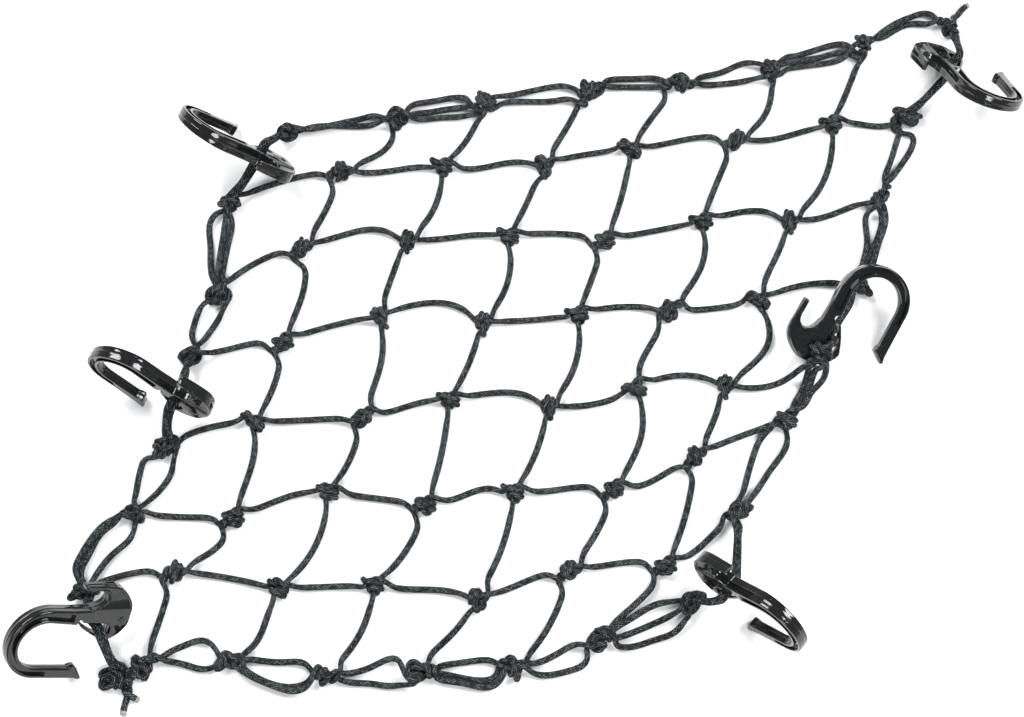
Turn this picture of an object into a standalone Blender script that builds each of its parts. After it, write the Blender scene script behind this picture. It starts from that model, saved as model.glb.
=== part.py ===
"""Elastic cargo net with six plastic hooks, laid out slack on a flat surface.

X runs to the right, Y away and Z up. The tables are in millimetres and degrees. The origin ends up
under the middle of the whole object, on the surface that it lies on.
"""
import math

import bmesh
import bpy
from mathutils import Matrix, Vector

MM = 0.001

# Cord and knots
CORD = 3.6             # diameter of the braided elastic cord
KNOT_WIDTH = 11.5      # a hand-tied knot inside the net
KNOT_HEIGHT = 8.0
EDGE_KNOT = 1.15       # an edge knot is wider, because it holds the two strands of the edge rope
CORNER_KNOT = 1.35
KNOT_CORNER = math.radians(30)   # of a knot's eight-sided lump
SPAN_STEPS = 3         # straight pieces in one stretch of cord between two knots
GAP = 0.3              # clearance between pieces that touch
END_GAP = 0.9          # between the end of an inner cord and the knot that it meets
EDGE_REACH = KNOT_WIDTH * EDGE_KNOT / 2 + END_GAP
INNER_REACH = KNOT_WIDTH / 2 + END_GAP
MERGE = 0.00001        # metres
SHARP_ANGLE = math.radians(50)

# Knot centres, far edge first, each row from left to right: (x, y)
KNOTS = [
    [(-129, 134), (-67, 145), (-16, 154), (43, 162), (97, 165), (149, 175), (204, 189), (256, 202)],
    [(-160, 92), (-98, 111), (-40, 114), (17, 115), (68, 124), (129, 131), (184, 140), (228, 145)],
    [(-167, 36), (-119, 65), (-60, 69), (-2, 71), (53, 69), (108, 80), (157, 81), (209, 95)],
    [(-180, 0), (-128, 8), (-75, 23), (-17, 20), (37, 24), (88, 26), (139, 32), (197, 41)],
    [(-192, -53), (-143, -39), (-83, -36), (-35, -26), (20, -29), (69, -20), (118, -17), (170, -2)],
    [(-207, -91), (-152, -93), (-101, -79), (-47, -86), (1, -79), (56, -77), (101, -58), (152, -38)],
    [(-234, -135), (-183, -123), (-127, -133), (-75, -131), (-20, -138), (31, -122), (84, -120), (124, -90)],
    [(-211, -183), (-198, -175), (-155, -172), (-101, -180), (-52, -178), (1, -177), (46, -162), (96, -141)],
]
RAISED_KNOTS = {(4, 7): 15}   # row and column of the knot that sits on the back end of hook_3
MIDDLE = 4                    # row of the knot at which a column cord's second length starts

# How far each stretch of a row cord bows to the far side, rows 1 to 6
ROW_BOWS = [
    [5, 0, 1, 3, 4, -2, -2],
    [6, 8, 2, 4, 1, 7, -2],
    [2, 3, 11, 0, 5, 0, 7],
    [5, 1, 2, 7, -3, 8, -7],
    [0, 4, 1, 4, 2, -3, 2],
    [5, 2, 1, 2, 1, 3, -2],
]
# How far each stretch of a column cord bows to the right, columns 1 to 6
COLUMN_BOWS = [
    [8, 2, 5, 3, 3, 5, 0],
    [3, 6, -1, 5, 3, 7, 7],
    [1, 1, 7, 2, 2, 4, 6],
    [-2, 2, 0, 7, 3, 4, 2],
    [9, -1, 8, -3, 8, 3, 5],
    [1, 9, 0, 13, 2, 3, 1],
]
# The edge rope, clockwise from the far left knot. Each stretch has how far its two strands stand
# out from the line between its knots, or the hook that they run through.
EDGE_STRETCHES = [
    (-1, 3), (-4, 7), (-3, 5), (1, 7), (-3, 5), (-4, 6), (7, 11),
    "hook_2", (-1, 7), (-1, 4), "hook_3", (1, 7), (-4, 5), "hook_4",
    (2, 11), (-1, 9), (-3, 6), (-3, 5), (-3, 9), (-8, 0), (-2, 3),
    "hook_5", (-2, 11), (-8, 6), "hook_6", (-5, 5), (0, 8), "hook_1",
]
# Cut ends of the rope that stick out of the two far apart corner knots
TAILS = [((256, 202), (267, 217)), ((-211, -183), (-215, -196)), ((-211, -183), (-208, -201)),
         ((-211, -183), (-200, -193))]

# One hook in its own plane: u along the shank from the back end, v towards the arm
SHANK = 43.5           # straight length before the bend
BEND = 17.6            # radius of the middle of the bend
ARM = 22.0             # straight length after the bend
SHANK_DEPTH = 7.4      # radial depth where the bend starts
ARM_DEPTH = 5.8
SHANK_WIDTH = 8.4      # moulded width, across the hook's plane
ARM_WIDTH = 5.6
BEND_POINTS = 12
GROOVE = 2.2           # depth of the recess in each side of the bend
RIM = 1.7              # rim left on each side of the recess
SHANK_START = 30       # where the shank has its full depth
# The flared tip, from the outer side round to the inner one, from the arm's end and middle line
FLARED_TIP = [(-2.5, 2.9), (-5.4, 3.6), (-6.6, 2.6), (-1.2, -4.1), (1.2, -3.8), (2.4, -2.9)]
# The back end, like an anchor: a wide barb on one side and a narrow one on the other
WIDE_BARB = [(22, -4.2), (19, -5.4), (15, -7.6), (13.8, -11), (15, -14.4), (18, -15.8), (27.5, -15.6),
             (28, -18.2), (9, -18.8), (3.5, -15.8), (-1, -10.5), (-2.5, -6)]
NARROW_BARB = [(-2.5, 1), (-1, 6.5), (3, 11.2), (8, 14), (16.5, 11), (23.5, 7.4), (23, 5.9), (16.5, 9.5),
               (10, 11.6), (7.6, 9.8), (7.9, 5), (10.6, 3.4), (24.5, 3.4)]
NOTCH = [(25.4, 1.6), (27.4, 1.6), (28.4, 4.6)]
SLOT = [(15.6, 6.5), (12.2, 7.0)]   # where each strand goes through, between shank and narrow barb

# Hooks: x, y of the back end, heading of the shank, rise of its bend end, roll of the arm towards
# the surface, and which of the two faces looks up
HOOKS = {
    "hook_1": dict(x=-130, y=111, yaw=176, pitch=46, roll=48, face=-1),
    "hook_2": dict(x=245, y=185, yaw=-74, pitch=39, roll=29, face=1),
    "hook_3": dict(x=165, y=-2, yaw=60, pitch=21, roll=20, face=-1),
    "hook_4": dict(x=104, y=-127, yaw=-39, pitch=38, roll=85, face=-1),
    "hook_5": dict(x=-209, y=-149, yaw=-171, pitch=39, roll=46, face=1),
    "hook_6": dict(x=-170, y=-36, yaw=153, pitch=39, roll=80, face=1),
}

CORD_BLACK = (0.030, 0.036, 0.040, 1.0)
PLASTIC_BLACK = (0.010, 0.011, 0.012, 1.0)


def clear_scene():
    for thing in list(bpy.data.objects):
        bpy.data.objects.remove(thing, do_unlink=True)


def new_collection(name):
    group = bpy.data.collections.new(name)
    bpy.context.scene.collection.children.link(group)
    return group


def material(name, colour, roughness):
    made = bpy.data.materials.new(name)
    made.use_nodes = True
    shader = made.node_tree.nodes["Principled BSDF"]
    shader.inputs["Base Color"].default_value = colour
    shader.inputs["Roughness"].default_value = roughness
    return made


def smooth_curve(points, steps):
    """Catmull-Rom curve through the points, with the given number of steps between two of them."""
    ends = [2 * points[0] - points[1], *points, 2 * points[-1] - points[-2]]
    path = [points[0]]
    for a, b, c, d in zip(ends, ends[1:], ends[2:], ends[3:]):
        for step in range(1, steps + 1):
            t = step / steps
            path.append(0.5 * (2 * b + (c - a) * t + (2 * a - 5 * b + 4 * c - d) * t * t
                               + (3 * b - a - 3 * c + d) * t ** 3))
    return path


def cord_mesh(name, points, width=CORD, endless=False):
    """A round cord along the points, in millimetres, with capped ends or endless."""
    curve = bpy.data.curves.new(name, "CURVE")
    curve.dimensions = "3D"
    curve.bevel_depth = width / 2 * MM
    curve.bevel_resolution = 1
    curve.use_fill_caps = True
    spline = curve.splines.new("POLY")
    spline.points.add(len(points) - 1)
    for target, point in zip(spline.points, points):
        target.co = (*(Vector(point) * MM), 1.0)
    spline.use_cyclic_u = endless
    guide = bpy.data.objects.new(name + "_line", curve)
    bpy.context.scene.collection.objects.link(guide)
    mesh = closed_copy(guide, name)
    bpy.data.objects.remove(guide)
    return mesh


def closed_copy(thing, name):
    """The evaluated mesh of a curve object, its loose caps welded on."""
    bpy.context.view_layer.update()
    depsgraph = bpy.context.evaluated_depsgraph_get()
    mesh = bpy.data.meshes.new_from_object(thing.evaluated_get(depsgraph))
    mesh.name = name
    form = bmesh.new()
    form.from_mesh(mesh)
    bmesh.ops.remove_doubles(form, verts=form.verts, dist=MERGE)
    bmesh.ops.recalc_face_normals(form, faces=form.faces)
    form.to_mesh(mesh)
    form.free()
    return mesh


def place(name, mesh, group, finish=None):
    mesh.shade_smooth()
    mesh.set_sharp_from_angle(angle=SHARP_ANGLE)
    thing = bpy.data.objects.new(name, mesh)
    group.objects.link(thing)
    if finish:
        mesh.materials.clear()
        mesh.materials.append(finish)
    return thing


def cutter(name, mesh, group):
    thing = place(name, mesh, group)
    thing.hide_render = True
    thing.display_type = "WIRE"
    return thing


def knot_centre(row, column):
    return Vector((*KNOTS[row][column], KNOT_HEIGHT / 2 + RAISED_KNOTS.get((row, column), 0)))


def stretch(start, end, bow):
    """Points of the cord from one knot to the next: it comes down to the surface between them."""
    side = Vector((start.y - end.y, end.x - start.x, 0)).normalized()
    steps = SPAN_STEPS if max(start.z, end.z) < KNOT_HEIGHT else 2 * SPAN_STEPS
    points = []
    for step in range(1, steps + 1):
        t = step / steps
        height = start.z if t < 0.5 else end.z
        point = start.lerp(end, t) + side * (4 * bow * t * (1 - t))
        point.z = CORD / 2 + (height - CORD / 2) * (1 + math.cos(math.tau * t)) / 2
        points.append(point)
    return points


def strand(knots, bows):
    path = [knots[0]]
    for start, end, bow in zip(knots, knots[1:], bows):
        path += stretch(start, end, bow)
    return path


def shorten(path, distance):
    """The path without its first stretch of the given length."""
    ahead = (path[1] - path[0]).normalized()
    return [path[0] + ahead * distance, *path[1:]]


def knot_mesh(name, centre, scale):
    """A knot's rounded lump."""
    form = bmesh.new()
    bmesh.ops.create_uvsphere(form, u_segments=8, v_segments=3, radius=1.0)
    width = KNOT_WIDTH * scale / 2 / math.cos(KNOT_CORNER)
    shape = Matrix.Diagonal((width * MM, width * MM, KNOT_HEIGHT / 2 * MM, 1))
    bmesh.ops.transform(form, matrix=Matrix.Translation(centre * MM) @ shape, verts=form.verts)
    mesh = bpy.data.meshes.new(name)
    form.to_mesh(mesh)
    form.free()
    return mesh


def combine(thing, operation, guides):
    """Joins every object of a collection to a thing, or cuts them all out of it."""
    change = thing.modifiers.new(guides.name, "BOOLEAN")
    change.operation = operation
    change.operand_type = "COLLECTION"
    change.collection = guides
    change.solver = "EXACT"


def inner_path(knots, bows, before=EDGE_REACH, after=EDGE_REACH):
    """An inner cord's line, cut off at the given distances from its first and last knot."""
    path = shorten(strand(knots, bows), before)
    return shorten(path[::-1], after)


def build_rows(group, tunnels, finish):
    """The row cords, and for each a wider copy that makes its way through the knots."""
    for row, bows in enumerate(ROW_BOWS, 1):
        path = inner_path([knot_centre(row, column) for column in range(len(KNOTS))], bows)
        name = f"row_cord_{row}"
        place(name, cord_mesh(name, path), group, finish)
        tunnel = f"row_tunnel_{row}"
        cutter(tunnel, cord_mesh(tunnel, path, CORD + 2 * GAP), tunnels)


def build_column(name, path, column, rows, group, tunnels, finish):
    """One length of a column cord with its knots, which are tied round the row cords."""
    cord = place(name, cord_mesh(name, path), group, finish)
    knots = new_collection(f"knots_of_{name}")
    for row in rows:
        knot = f"knot_{row}_{column}"
        cutter(knot, knot_mesh(knot, knot_centre(row, column), 1.0), knots)
    combine(cord, "UNION", knots)
    combine(cord, "DIFFERENCE", tunnels)


def build_columns(group, tunnels, finish):
    """The column cords, each in a far and a near length."""
    for column, bows in enumerate(COLUMN_BOWS, 1):
        centres = [knot_centre(row, column) for row in range(len(KNOTS))]
        name = f"column_cord_{column}"
        far = inner_path(centres[:MIDDLE + 1], bows[:MIDDLE], after=INNER_REACH)
        near = inner_path(centres[MIDDLE:], bows[MIDDLE:], before=0)
        far_rows = range(1, MIDDLE)
        near_rows = range(MIDDLE, len(KNOTS) - 1)
        build_column(name + "_far", far, column, far_rows, group, tunnels, finish)
        build_column(name + "_near", near, column, near_rows, group, tunnels, finish)


def bend_fraction(u, v):
    """0 along the shank, 1 along the arm, and in between by the angle around the bend."""
    if u <= SHANK:
        return 0.0 if v < BEND else 1.0
    return min(1.0, max(0.0, 0.5 + math.atan2(v - BEND, u - SHANK) / math.pi))


def bend_line(offset_at_shank, offset_at_arm):
    """Points around the bend, off its middle line by an offset that changes along it."""
    line = []
    for step in range(BEND_POINTS + 1):
        part = step / BEND_POINTS
        turn = math.pi * part
        reach = BEND + offset_at_shank + (offset_at_arm - offset_at_shank) * part
        line.append((SHANK + reach * math.sin(turn), BEND - reach * math.cos(turn)))
    return line


def hook_outline():
    """The hook's side view, all the way round."""
    arm_v = 2 * BEND
    arm_end = SHANK - ARM
    tip = [(arm_end + along, arm_v + across) for along, across in FLARED_TIP]
    outer = bend_line(SHANK_DEPTH / 2, ARM_DEPTH / 2)
    inner = bend_line(-SHANK_DEPTH / 2, -ARM_DEPTH / 2)[::-1]
    back_end = [*NOTCH[::-1], *NARROW_BARB[::-1], *WIDE_BARB[::-1], (SHANK_START, -SHANK_DEPTH / 2)]
    return [*outer, *tip, *inner, *back_end]


def slab(name, outline, low, high):
    """A flat outline made solid between two heights across the hook's plane."""
    curve = bpy.data.curves.new(name, "CURVE")
    curve.dimensions = "2D"
    curve.fill_mode = "BOTH"
    curve.extrude = (high - low) / 2 * MM
    spline = curve.splines.new("POLY")
    spline.points.add(len(outline) - 1)
    for target, (u, v) in zip(spline.points, outline):
        target.co = (u * MM, v * MM, 0, 1)
    spline.use_cyclic_u = True
    guide = bpy.data.objects.new(name + "_outline", curve)
    bpy.context.scene.collection.objects.link(guide)
    mesh = closed_copy(guide, name)
    bpy.data.objects.remove(guide)
    mesh.transform(Matrix.Translation((0, 0, (low + high) / 2 * MM)))
    return mesh


def narrow_to_arm(mesh):
    """Tapers the moulded width from the shank to the arm."""
    for vertex in mesh.vertices:
        part = bend_fraction(vertex.co.x / MM, vertex.co.y / MM)
        vertex.co.z *= 1 + (ARM_WIDTH / SHANK_WIDTH - 1) * part


def hook_matrix(x, y, yaw, pitch, roll, face):
    """Turns the hook's own u, v and w into world axes: shank heading, rise and roll."""
    heading = math.radians(yaw)
    rise = math.radians(pitch)
    tilt = math.radians(roll)
    ahead = Vector((math.cos(heading), math.sin(heading), 0))
    aside = face * Vector((-ahead.y, ahead.x, 0))
    up = Vector((0, 0, 1))
    u = ahead * math.cos(rise) + up * math.sin(rise)
    level_up = up * math.cos(rise) - ahead * math.sin(rise)
    v = aside * math.cos(tilt) - level_up * math.sin(tilt)
    w = u.cross(v)
    turn = Matrix((u, v, w)).transposed().to_4x4()
    return Matrix.Translation(Vector((x, y, 0)) * MM) @ turn


def build_hook(name, pose, group, finish):
    """One hook in its place, its lowest point on the surface."""
    half = SHANK_WIDTH / 2
    mesh = slab(name, hook_outline(), -half, half)
    narrow_to_arm(mesh)
    hook = place(name, mesh, group, finish)
    hook.matrix_world = hook_matrix(**pose)
    hook.location.z -= min((hook.matrix_world @ vertex.co).z for vertex in mesh.vertices)
    bpy.context.view_layer.update()
    return hook


def recess_hook(name, hook, guides):
    """Sinks a recess with a rim round it into each side of the bend."""
    half = SHANK_WIDTH / 2
    at_shank, at_arm = SHANK_DEPTH / 2 - RIM, ARM_DEPTH / 2 - RIM
    outline = [*bend_line(at_shank, at_arm), *bend_line(-at_shank, -at_arm)[::-1]]
    for side, label in ((1, "front"), (-1, "back")):
        low, high = sorted((side * (half - GROOVE), side * (half + 1)))
        recess = slab(f"{name}_{label}", outline, low, high)
        narrow_to_arm(recess)
        tool = cutter(recess.name, recess, guides)
        tool.location = hook.location
        tool.rotation_euler = hook.rotation_euler
        cut = hook.modifiers.new(label, "BOOLEAN")
        cut.operation = "DIFFERENCE"
        cut.object = tool
        cut.solver = "EXACT"


def through_hook(hook, face, slot, start):
    """A strand's way through a hook: straight up the slot from below, then over the narrow barb."""
    u, v = slot
    half = SHANK_WIDTH / 2
    over = half + CORD / 2 + 3 * GAP
    local = [(u, v, -half - 2), (u, v, -1), (u, v, half - 0.5), (u, v + 2, over)]
    way = [hook.matrix_world @ (Vector((a, b, c * face)) * MM) / MM for a, b, c in local]
    starts_above = (hook.matrix_world.inverted() @ (start * MM)).z * face > 0
    return way[::-1] if starts_above else way


def edge_knots():
    """Row and column of each knot of the edge, clockwise from the far left one."""
    last = len(KNOTS) - 1
    steps = range(last)
    return ([(0, step) for step in steps] + [(step, last) for step in steps]
            + [(last, last - step) for step in steps] + [(last - step, 0) for step in steps])


def build_edge_rope(hooks, group, guides, finish):
    """Two strands all the way round, tied together at each edge knot and threaded through the hooks."""
    places = edge_knots()
    centres = [knot_centre(row, column) for row, column in places]
    for number, slot in enumerate(SLOT):
        path = []
        for start, end, way in zip(centres, centres[1:] + centres[:1], EDGE_STRETCHES):
            if way in hooks:
                route = through_hook(hooks[way], HOOKS[way]["face"], slot, start)
                path += smooth_curve([start, *route, end], 2)[1:]
            else:
                path += stretch(start, end, way[number])
        mesh = cord_mesh(f"strand_{number}", path, endless=True)
        if number:
            cutter(mesh.name, mesh, guides)
        else:
            rope = place("edge_rope", mesh, group, finish)
    for (row, column), centre in zip(places, centres):
        is_corner = row in (0, len(KNOTS) - 1) and column in (0, len(KNOTS) - 1)
        mesh = knot_mesh(f"knot_{row}_{column}", centre, CORNER_KNOT if is_corner else EDGE_KNOT)
        cutter(mesh.name, mesh, guides)
    for index, (start, end) in enumerate(TAILS):
        mesh = cord_mesh(f"tail_{index}", [(*start, KNOT_HEIGHT / 2), (*end, CORD / 2)])
        cutter(mesh.name, mesh, guides)
    combine(rope, "UNION", guides)


def centre_on_surface():
    """Moves everything so that the origin is under the middle of the whole, on the surface."""
    bpy.context.view_layer.update()
    corners = [thing.matrix_world @ vertex.co for thing in bpy.context.scene.objects
               for vertex in thing.data.vertices]
    low = Vector([min(corner[axis] for corner in corners) for axis in range(3)])
    high = Vector([max(corner[axis] for corner in corners) for axis in range(3)])
    middle = (low + high) / 2
    for thing in bpy.context.scene.objects:
        thing.location -= Vector((middle.x, middle.y, low.z))


def main():
    clear_scene()
    net = new_collection("cargo_net")
    tunnels = new_collection("ways_through_the_knots")
    rope_cords = new_collection("tied_into_the_edge_rope")
    recesses = new_collection("hook_recesses")
    plastic = material("hook_plastic", PLASTIC_BLACK, 0.2)
    build_rows(net, tunnels, material("row_braid", CORD_BLACK, 0.75))
    build_columns(net, tunnels, material("column_braid", CORD_BLACK, 0.75))
    hooks = {name: build_hook(name, pose, net, plastic) for name, pose in HOOKS.items()}
    build_edge_rope(hooks, net, rope_cords, material("rope_braid", CORD_BLACK, 0.75))
    centre_on_surface()
    for name, hook in hooks.items():
        recess_hook(name, hook, recesses)


main()
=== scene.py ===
"""Elastic cargo net with six plastic hooks, lying slack on a flat surface.

X runs to the right, Y away and Z up. The tables are in millimetres and degrees, from a point near
the middle of the net, and each piece is moved into the part's own frame as its mesh is made.
"""

from concurrent.futures import ThreadPoolExecutor

import bpy
import numpy as np
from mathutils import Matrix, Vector


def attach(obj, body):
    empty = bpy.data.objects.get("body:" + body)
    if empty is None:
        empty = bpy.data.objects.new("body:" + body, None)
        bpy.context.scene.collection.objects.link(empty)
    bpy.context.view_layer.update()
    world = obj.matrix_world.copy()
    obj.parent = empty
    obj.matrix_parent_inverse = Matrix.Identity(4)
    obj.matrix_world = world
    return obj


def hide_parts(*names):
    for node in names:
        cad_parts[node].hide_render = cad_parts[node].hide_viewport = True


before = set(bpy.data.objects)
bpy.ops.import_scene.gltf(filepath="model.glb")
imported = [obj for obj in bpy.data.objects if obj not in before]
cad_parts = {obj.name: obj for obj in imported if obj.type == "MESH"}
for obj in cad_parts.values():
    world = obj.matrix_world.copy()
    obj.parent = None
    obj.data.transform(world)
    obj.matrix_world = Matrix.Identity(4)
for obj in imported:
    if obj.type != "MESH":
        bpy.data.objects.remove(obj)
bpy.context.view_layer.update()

# ------------------------------------------------------------------------------------------------
# Studio: a pale table top under three large soft lamps, seen from a little in front of the net and
# almost from above, as in the photograph.
# ------------------------------------------------------------------------------------------------

EYE = (-0.0118, -0.4410, 1.3315)
LOOKED_AT = (-0.0118, -0.0084, 0.0)
TABLE_HALF = 3.0        # metres from the middle of the table top to its edges

camera_data = bpy.data.cameras.new("camera")
camera_data.sensor_width = 36
camera_data.lens = 87.9
camera = bpy.data.objects.new("camera", camera_data)
bpy.context.scene.collection.objects.link(camera)
camera.location = EYE
view_line = Vector(LOOKED_AT) - camera.location
camera.rotation_euler = view_line.to_track_quat("-Z", "Y").to_euler()
bpy.context.scene.camera = camera
bpy.context.scene.view_settings.view_transform = "Standard"


def softbox(name, place, size, watts):
    """A square lamp of the given size that points at the middle of the net."""
    lamp = bpy.data.lights.new(name, "AREA")
    lamp.size = size
    lamp.energy = watts
    holder = bpy.data.objects.new(name, lamp)
    bpy.context.scene.collection.objects.link(holder)
    holder.location = place
    holder.rotation_euler = (-Vector(place)).to_track_quat("-Z", "Y").to_euler()


softbox("lamp_left", place=(-0.85, 0.75, 1.5), size=0.9, watts=38)
softbox("lamp_right", place=(1.15, 0.1, 1.35), size=0.7, watts=26)
softbox("lamp_front", place=(0.1, -1.3, 1.2), size=0.6, watts=16)

sky = bpy.data.worlds.new("studio")
bpy.context.scene.world = sky
sky.use_nodes = True
sky_links = sky.node_tree.links
sky_nodes = sky.node_tree.nodes
direction = sky_nodes.new("ShaderNodeTexCoord")
height = sky_nodes.new("ShaderNodeSeparateXYZ")
sky_links.new(direction.outputs["Generated"], height.inputs[0])
shade = sky_nodes.new("ShaderNodeValToRGB")
shade.color_ramp.elements[0].position = 0.05
shade.color_ramp.elements[0].color = (0.45, 0.45, 0.45, 1)
shade.color_ramp.elements[1].position = 0.55
shade.color_ramp.elements[1].color = (0.22, 0.23, 0.24, 1)
sky_links.new(height.outputs["Z"], shade.inputs[0])
sky_links.new(shade.outputs[0], sky_nodes["Background"].inputs[0])


def grid_mesh(name, corners, faces, face_values=None):
    """A smooth mesh from arrays: corners (n, 3) in metres, faces as lists of corner numbers, and
    for each face corner a pair of values for the piece's own map."""
    mesh = bpy.data.meshes.new(name)
    mesh.from_pydata(corners.tolist(), [], faces)
    if face_values is not None:
        layer = mesh.uv_layers.new(name="along_the_cord")
        layer.data.foreach_set("uv", np.asarray(face_values, np.float32).ravel())
    mesh.shade_smooth()
    mesh.update()
    piece = bpy.data.objects.new(name, mesh)
    bpy.context.scene.collection.objects.link(piece)
    return piece


table_corners = TABLE_HALF * np.array([(-1, -1, 0), (1, -1, 0), (1, 1, 0), (-1, 1, 0)])
table_top = grid_mesh("table_top", table_corners, [[0, 1, 2, 3]])
table_paint = bpy.data.materials.new("white_laminate")
table_paint.use_nodes = True
table_shader = table_paint.node_tree.nodes["Principled BSDF"]
table_shader.inputs["Base Color"].default_value = (0.93, 0.93, 0.93, 1)
table_shader.inputs["Roughness"].default_value = 0.7
table_shader.inputs["Specular IOR Level"].default_value = 0.2
table_top.data.materials.append(table_paint)

# ------------------------------------------------------------------------------------------------
# Hooks: six glossy black mouldings, each an open bend with a recess and rims on both sides, a
# flared tip, and an anchor-shaped back end. The edge rope runs through the slot beside the shank.
# ------------------------------------------------------------------------------------------------

MM = 0.001
MIDDLE = np.array([11.783, 8.366, 0.0])   # middle of the whole net in the tables' millimetres

# Place of the back end, heading of the shank, rise of the bend, roll, and which face looks up
HOOKS = {
    "hook_1": dict(place=(-130, 111, 10.10), yaw=176, pitch=46, roll=48, face=-1),
    "hook_2": dict(place=(245, 185, 6.77), yaw=-74, pitch=39, roll=29, face=1),
    "hook_3": dict(place=(165, -2, 9.19), yaw=60, pitch=21, roll=20, face=-1),
    "hook_4": dict(place=(104, -127, 20.74), yaw=-39, pitch=38, roll=85, face=-1),
    "hook_5": dict(place=(-209, -149, 13.27), yaw=-171, pitch=39, roll=46, face=1),
    "hook_6": dict(place=(-170, -36, 19.94), yaw=153, pitch=39, roll=80, face=1),
}
SHANK = 43.5            # from the back end to where the bend begins
BEND = 17.6             # radius of the bend, to the middle of the bar
SHANK_DEPTH, ARM_DEPTH = 7.4, 5.8
SHANK_WIDTH, ARM_WIDTH, TIP_WIDTH = 8.4, 5.6, 6.0
ARM_END = 24.5          # where the arm goes over into the flared tip
# Edges of the shank (u, v) from the back end on: the lower one, and the upper one with its notch
SHANK_BELOW = [(0, -4.2), (22, -4.2), (30, -SHANK_DEPTH / 2)]
SHANK_ABOVE = [(0, 3.4), (24.5, 3.4), (25.4, 1.6), (27.4, 1.6), (28.4, 4.6), (31, 4.4), (SHANK, 3.7)]
RIM = 1.7
RECESS = 2.2
RECESS_ON_SHANK, RECESS_ON_ARM = 30.8, 37.9     # where the recess begins
RECESS_RAMP = 1.2       # and the length over which it gets its full depth
EASE = 0.12             # rounding of the rim's inner edge
WALL_FOOT, FLOOR_EDGE, FILLET = 0.28, 0.42, 0.1     # and of the recess's floor, from the rim
CORNER = 0.8            # radius of the moulding's edges
PARTING, PARTING_WIDTH = 0.10, 0.4      # height and width of the mould's parting line
BOSS_PLACE, BOSS_RADIUS, BOSS_RISE, BOSS_SUNK = 3, 1.75, 0.55, 0.5

# Stations along each barb: edge next to the rope (u, v), outer edge (u, v), half width, recess
WIDE_BARB = [(22, 1, -2.4, 1, 4.2, 0), (22, -4.2, -2.45, -3.6, 4.2, 0), (19, -5.4, -2.3, -6.4, 4.1, 0),
             (15.4, -7.4, -0.8, -10.4, 3.9, 0.7), (13.9, -10.8, 3.6, -15.6, 3.7, 0.9),
             (15, -14.2, 8.6, -18.4, 3.5, 0.9), (18, -15.7, 14.5, -18.8, 3.3, 0.7),
             (22.5, -15.7, 21.5, -18.5, 3.1, 0), (27.4, -15.6, 27.8, -18.2, 2.9, 0)]
NARROW_BARB = [(11, -1, -2.4, -1, 4.2, 0), (10.2, 3.4, -2.4, 2, 4.2, 0), (8.2, 4.8, -1.6, 5, 4.1, 0),
               (7.6, 7, 0.4, 8.4, 3.9, 0), (7.8, 9.6, 3.2, 11.2, 3.7, 0), (10, 11.5, 8, 13.9, 3.4, 0),
               (13, 10.8, 12.2, 12.8, 3.2, 0), (16.5, 9.5, 16.6, 11, 3.0, 0),
               (20, 7.6, 20.3, 9.1, 2.8, 0), (23, 5.9, 23.5, 7.4, 2.6, 0)]
# Stations of the flared tip: outer edge, then the edge that faces the shank
FLARED_TIP = [(21.5, 38.1, 24.2, 32.3), (19, 38.15, 23.6, 32.2), (17.2, 38.5, 22.9, 31.6),
              (16.1, 38.8, 21.8, 31.3), (15.2, 38.2, 20.6, 31.1)]


def through(points, steps):
    """A smooth curve through the rows of a table, with the given number of steps between two rows:
    on each stretch the cubic whose ends have half the difference of their neighbours as slope."""
    points = np.asarray(points, float)
    first, last = 2 * points[0] - points[1], 2 * points[-1] - points[-2]
    ends = np.vstack([first, points, last])
    a, b, c, d = (ends[k:len(ends) - 3 + k, None] for k in range(4))
    t = (np.arange(steps) / steps)[:, None]
    curve = 0.5 * (2 * b + (c - a) * t + (2 * a - 5 * b + 4 * c - d) * t**2
                   + (3 * b - a - 3 * c + d) * t**3)
    return np.vstack([curve.reshape(-1, points.shape[1]), points[-1:]])


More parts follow.
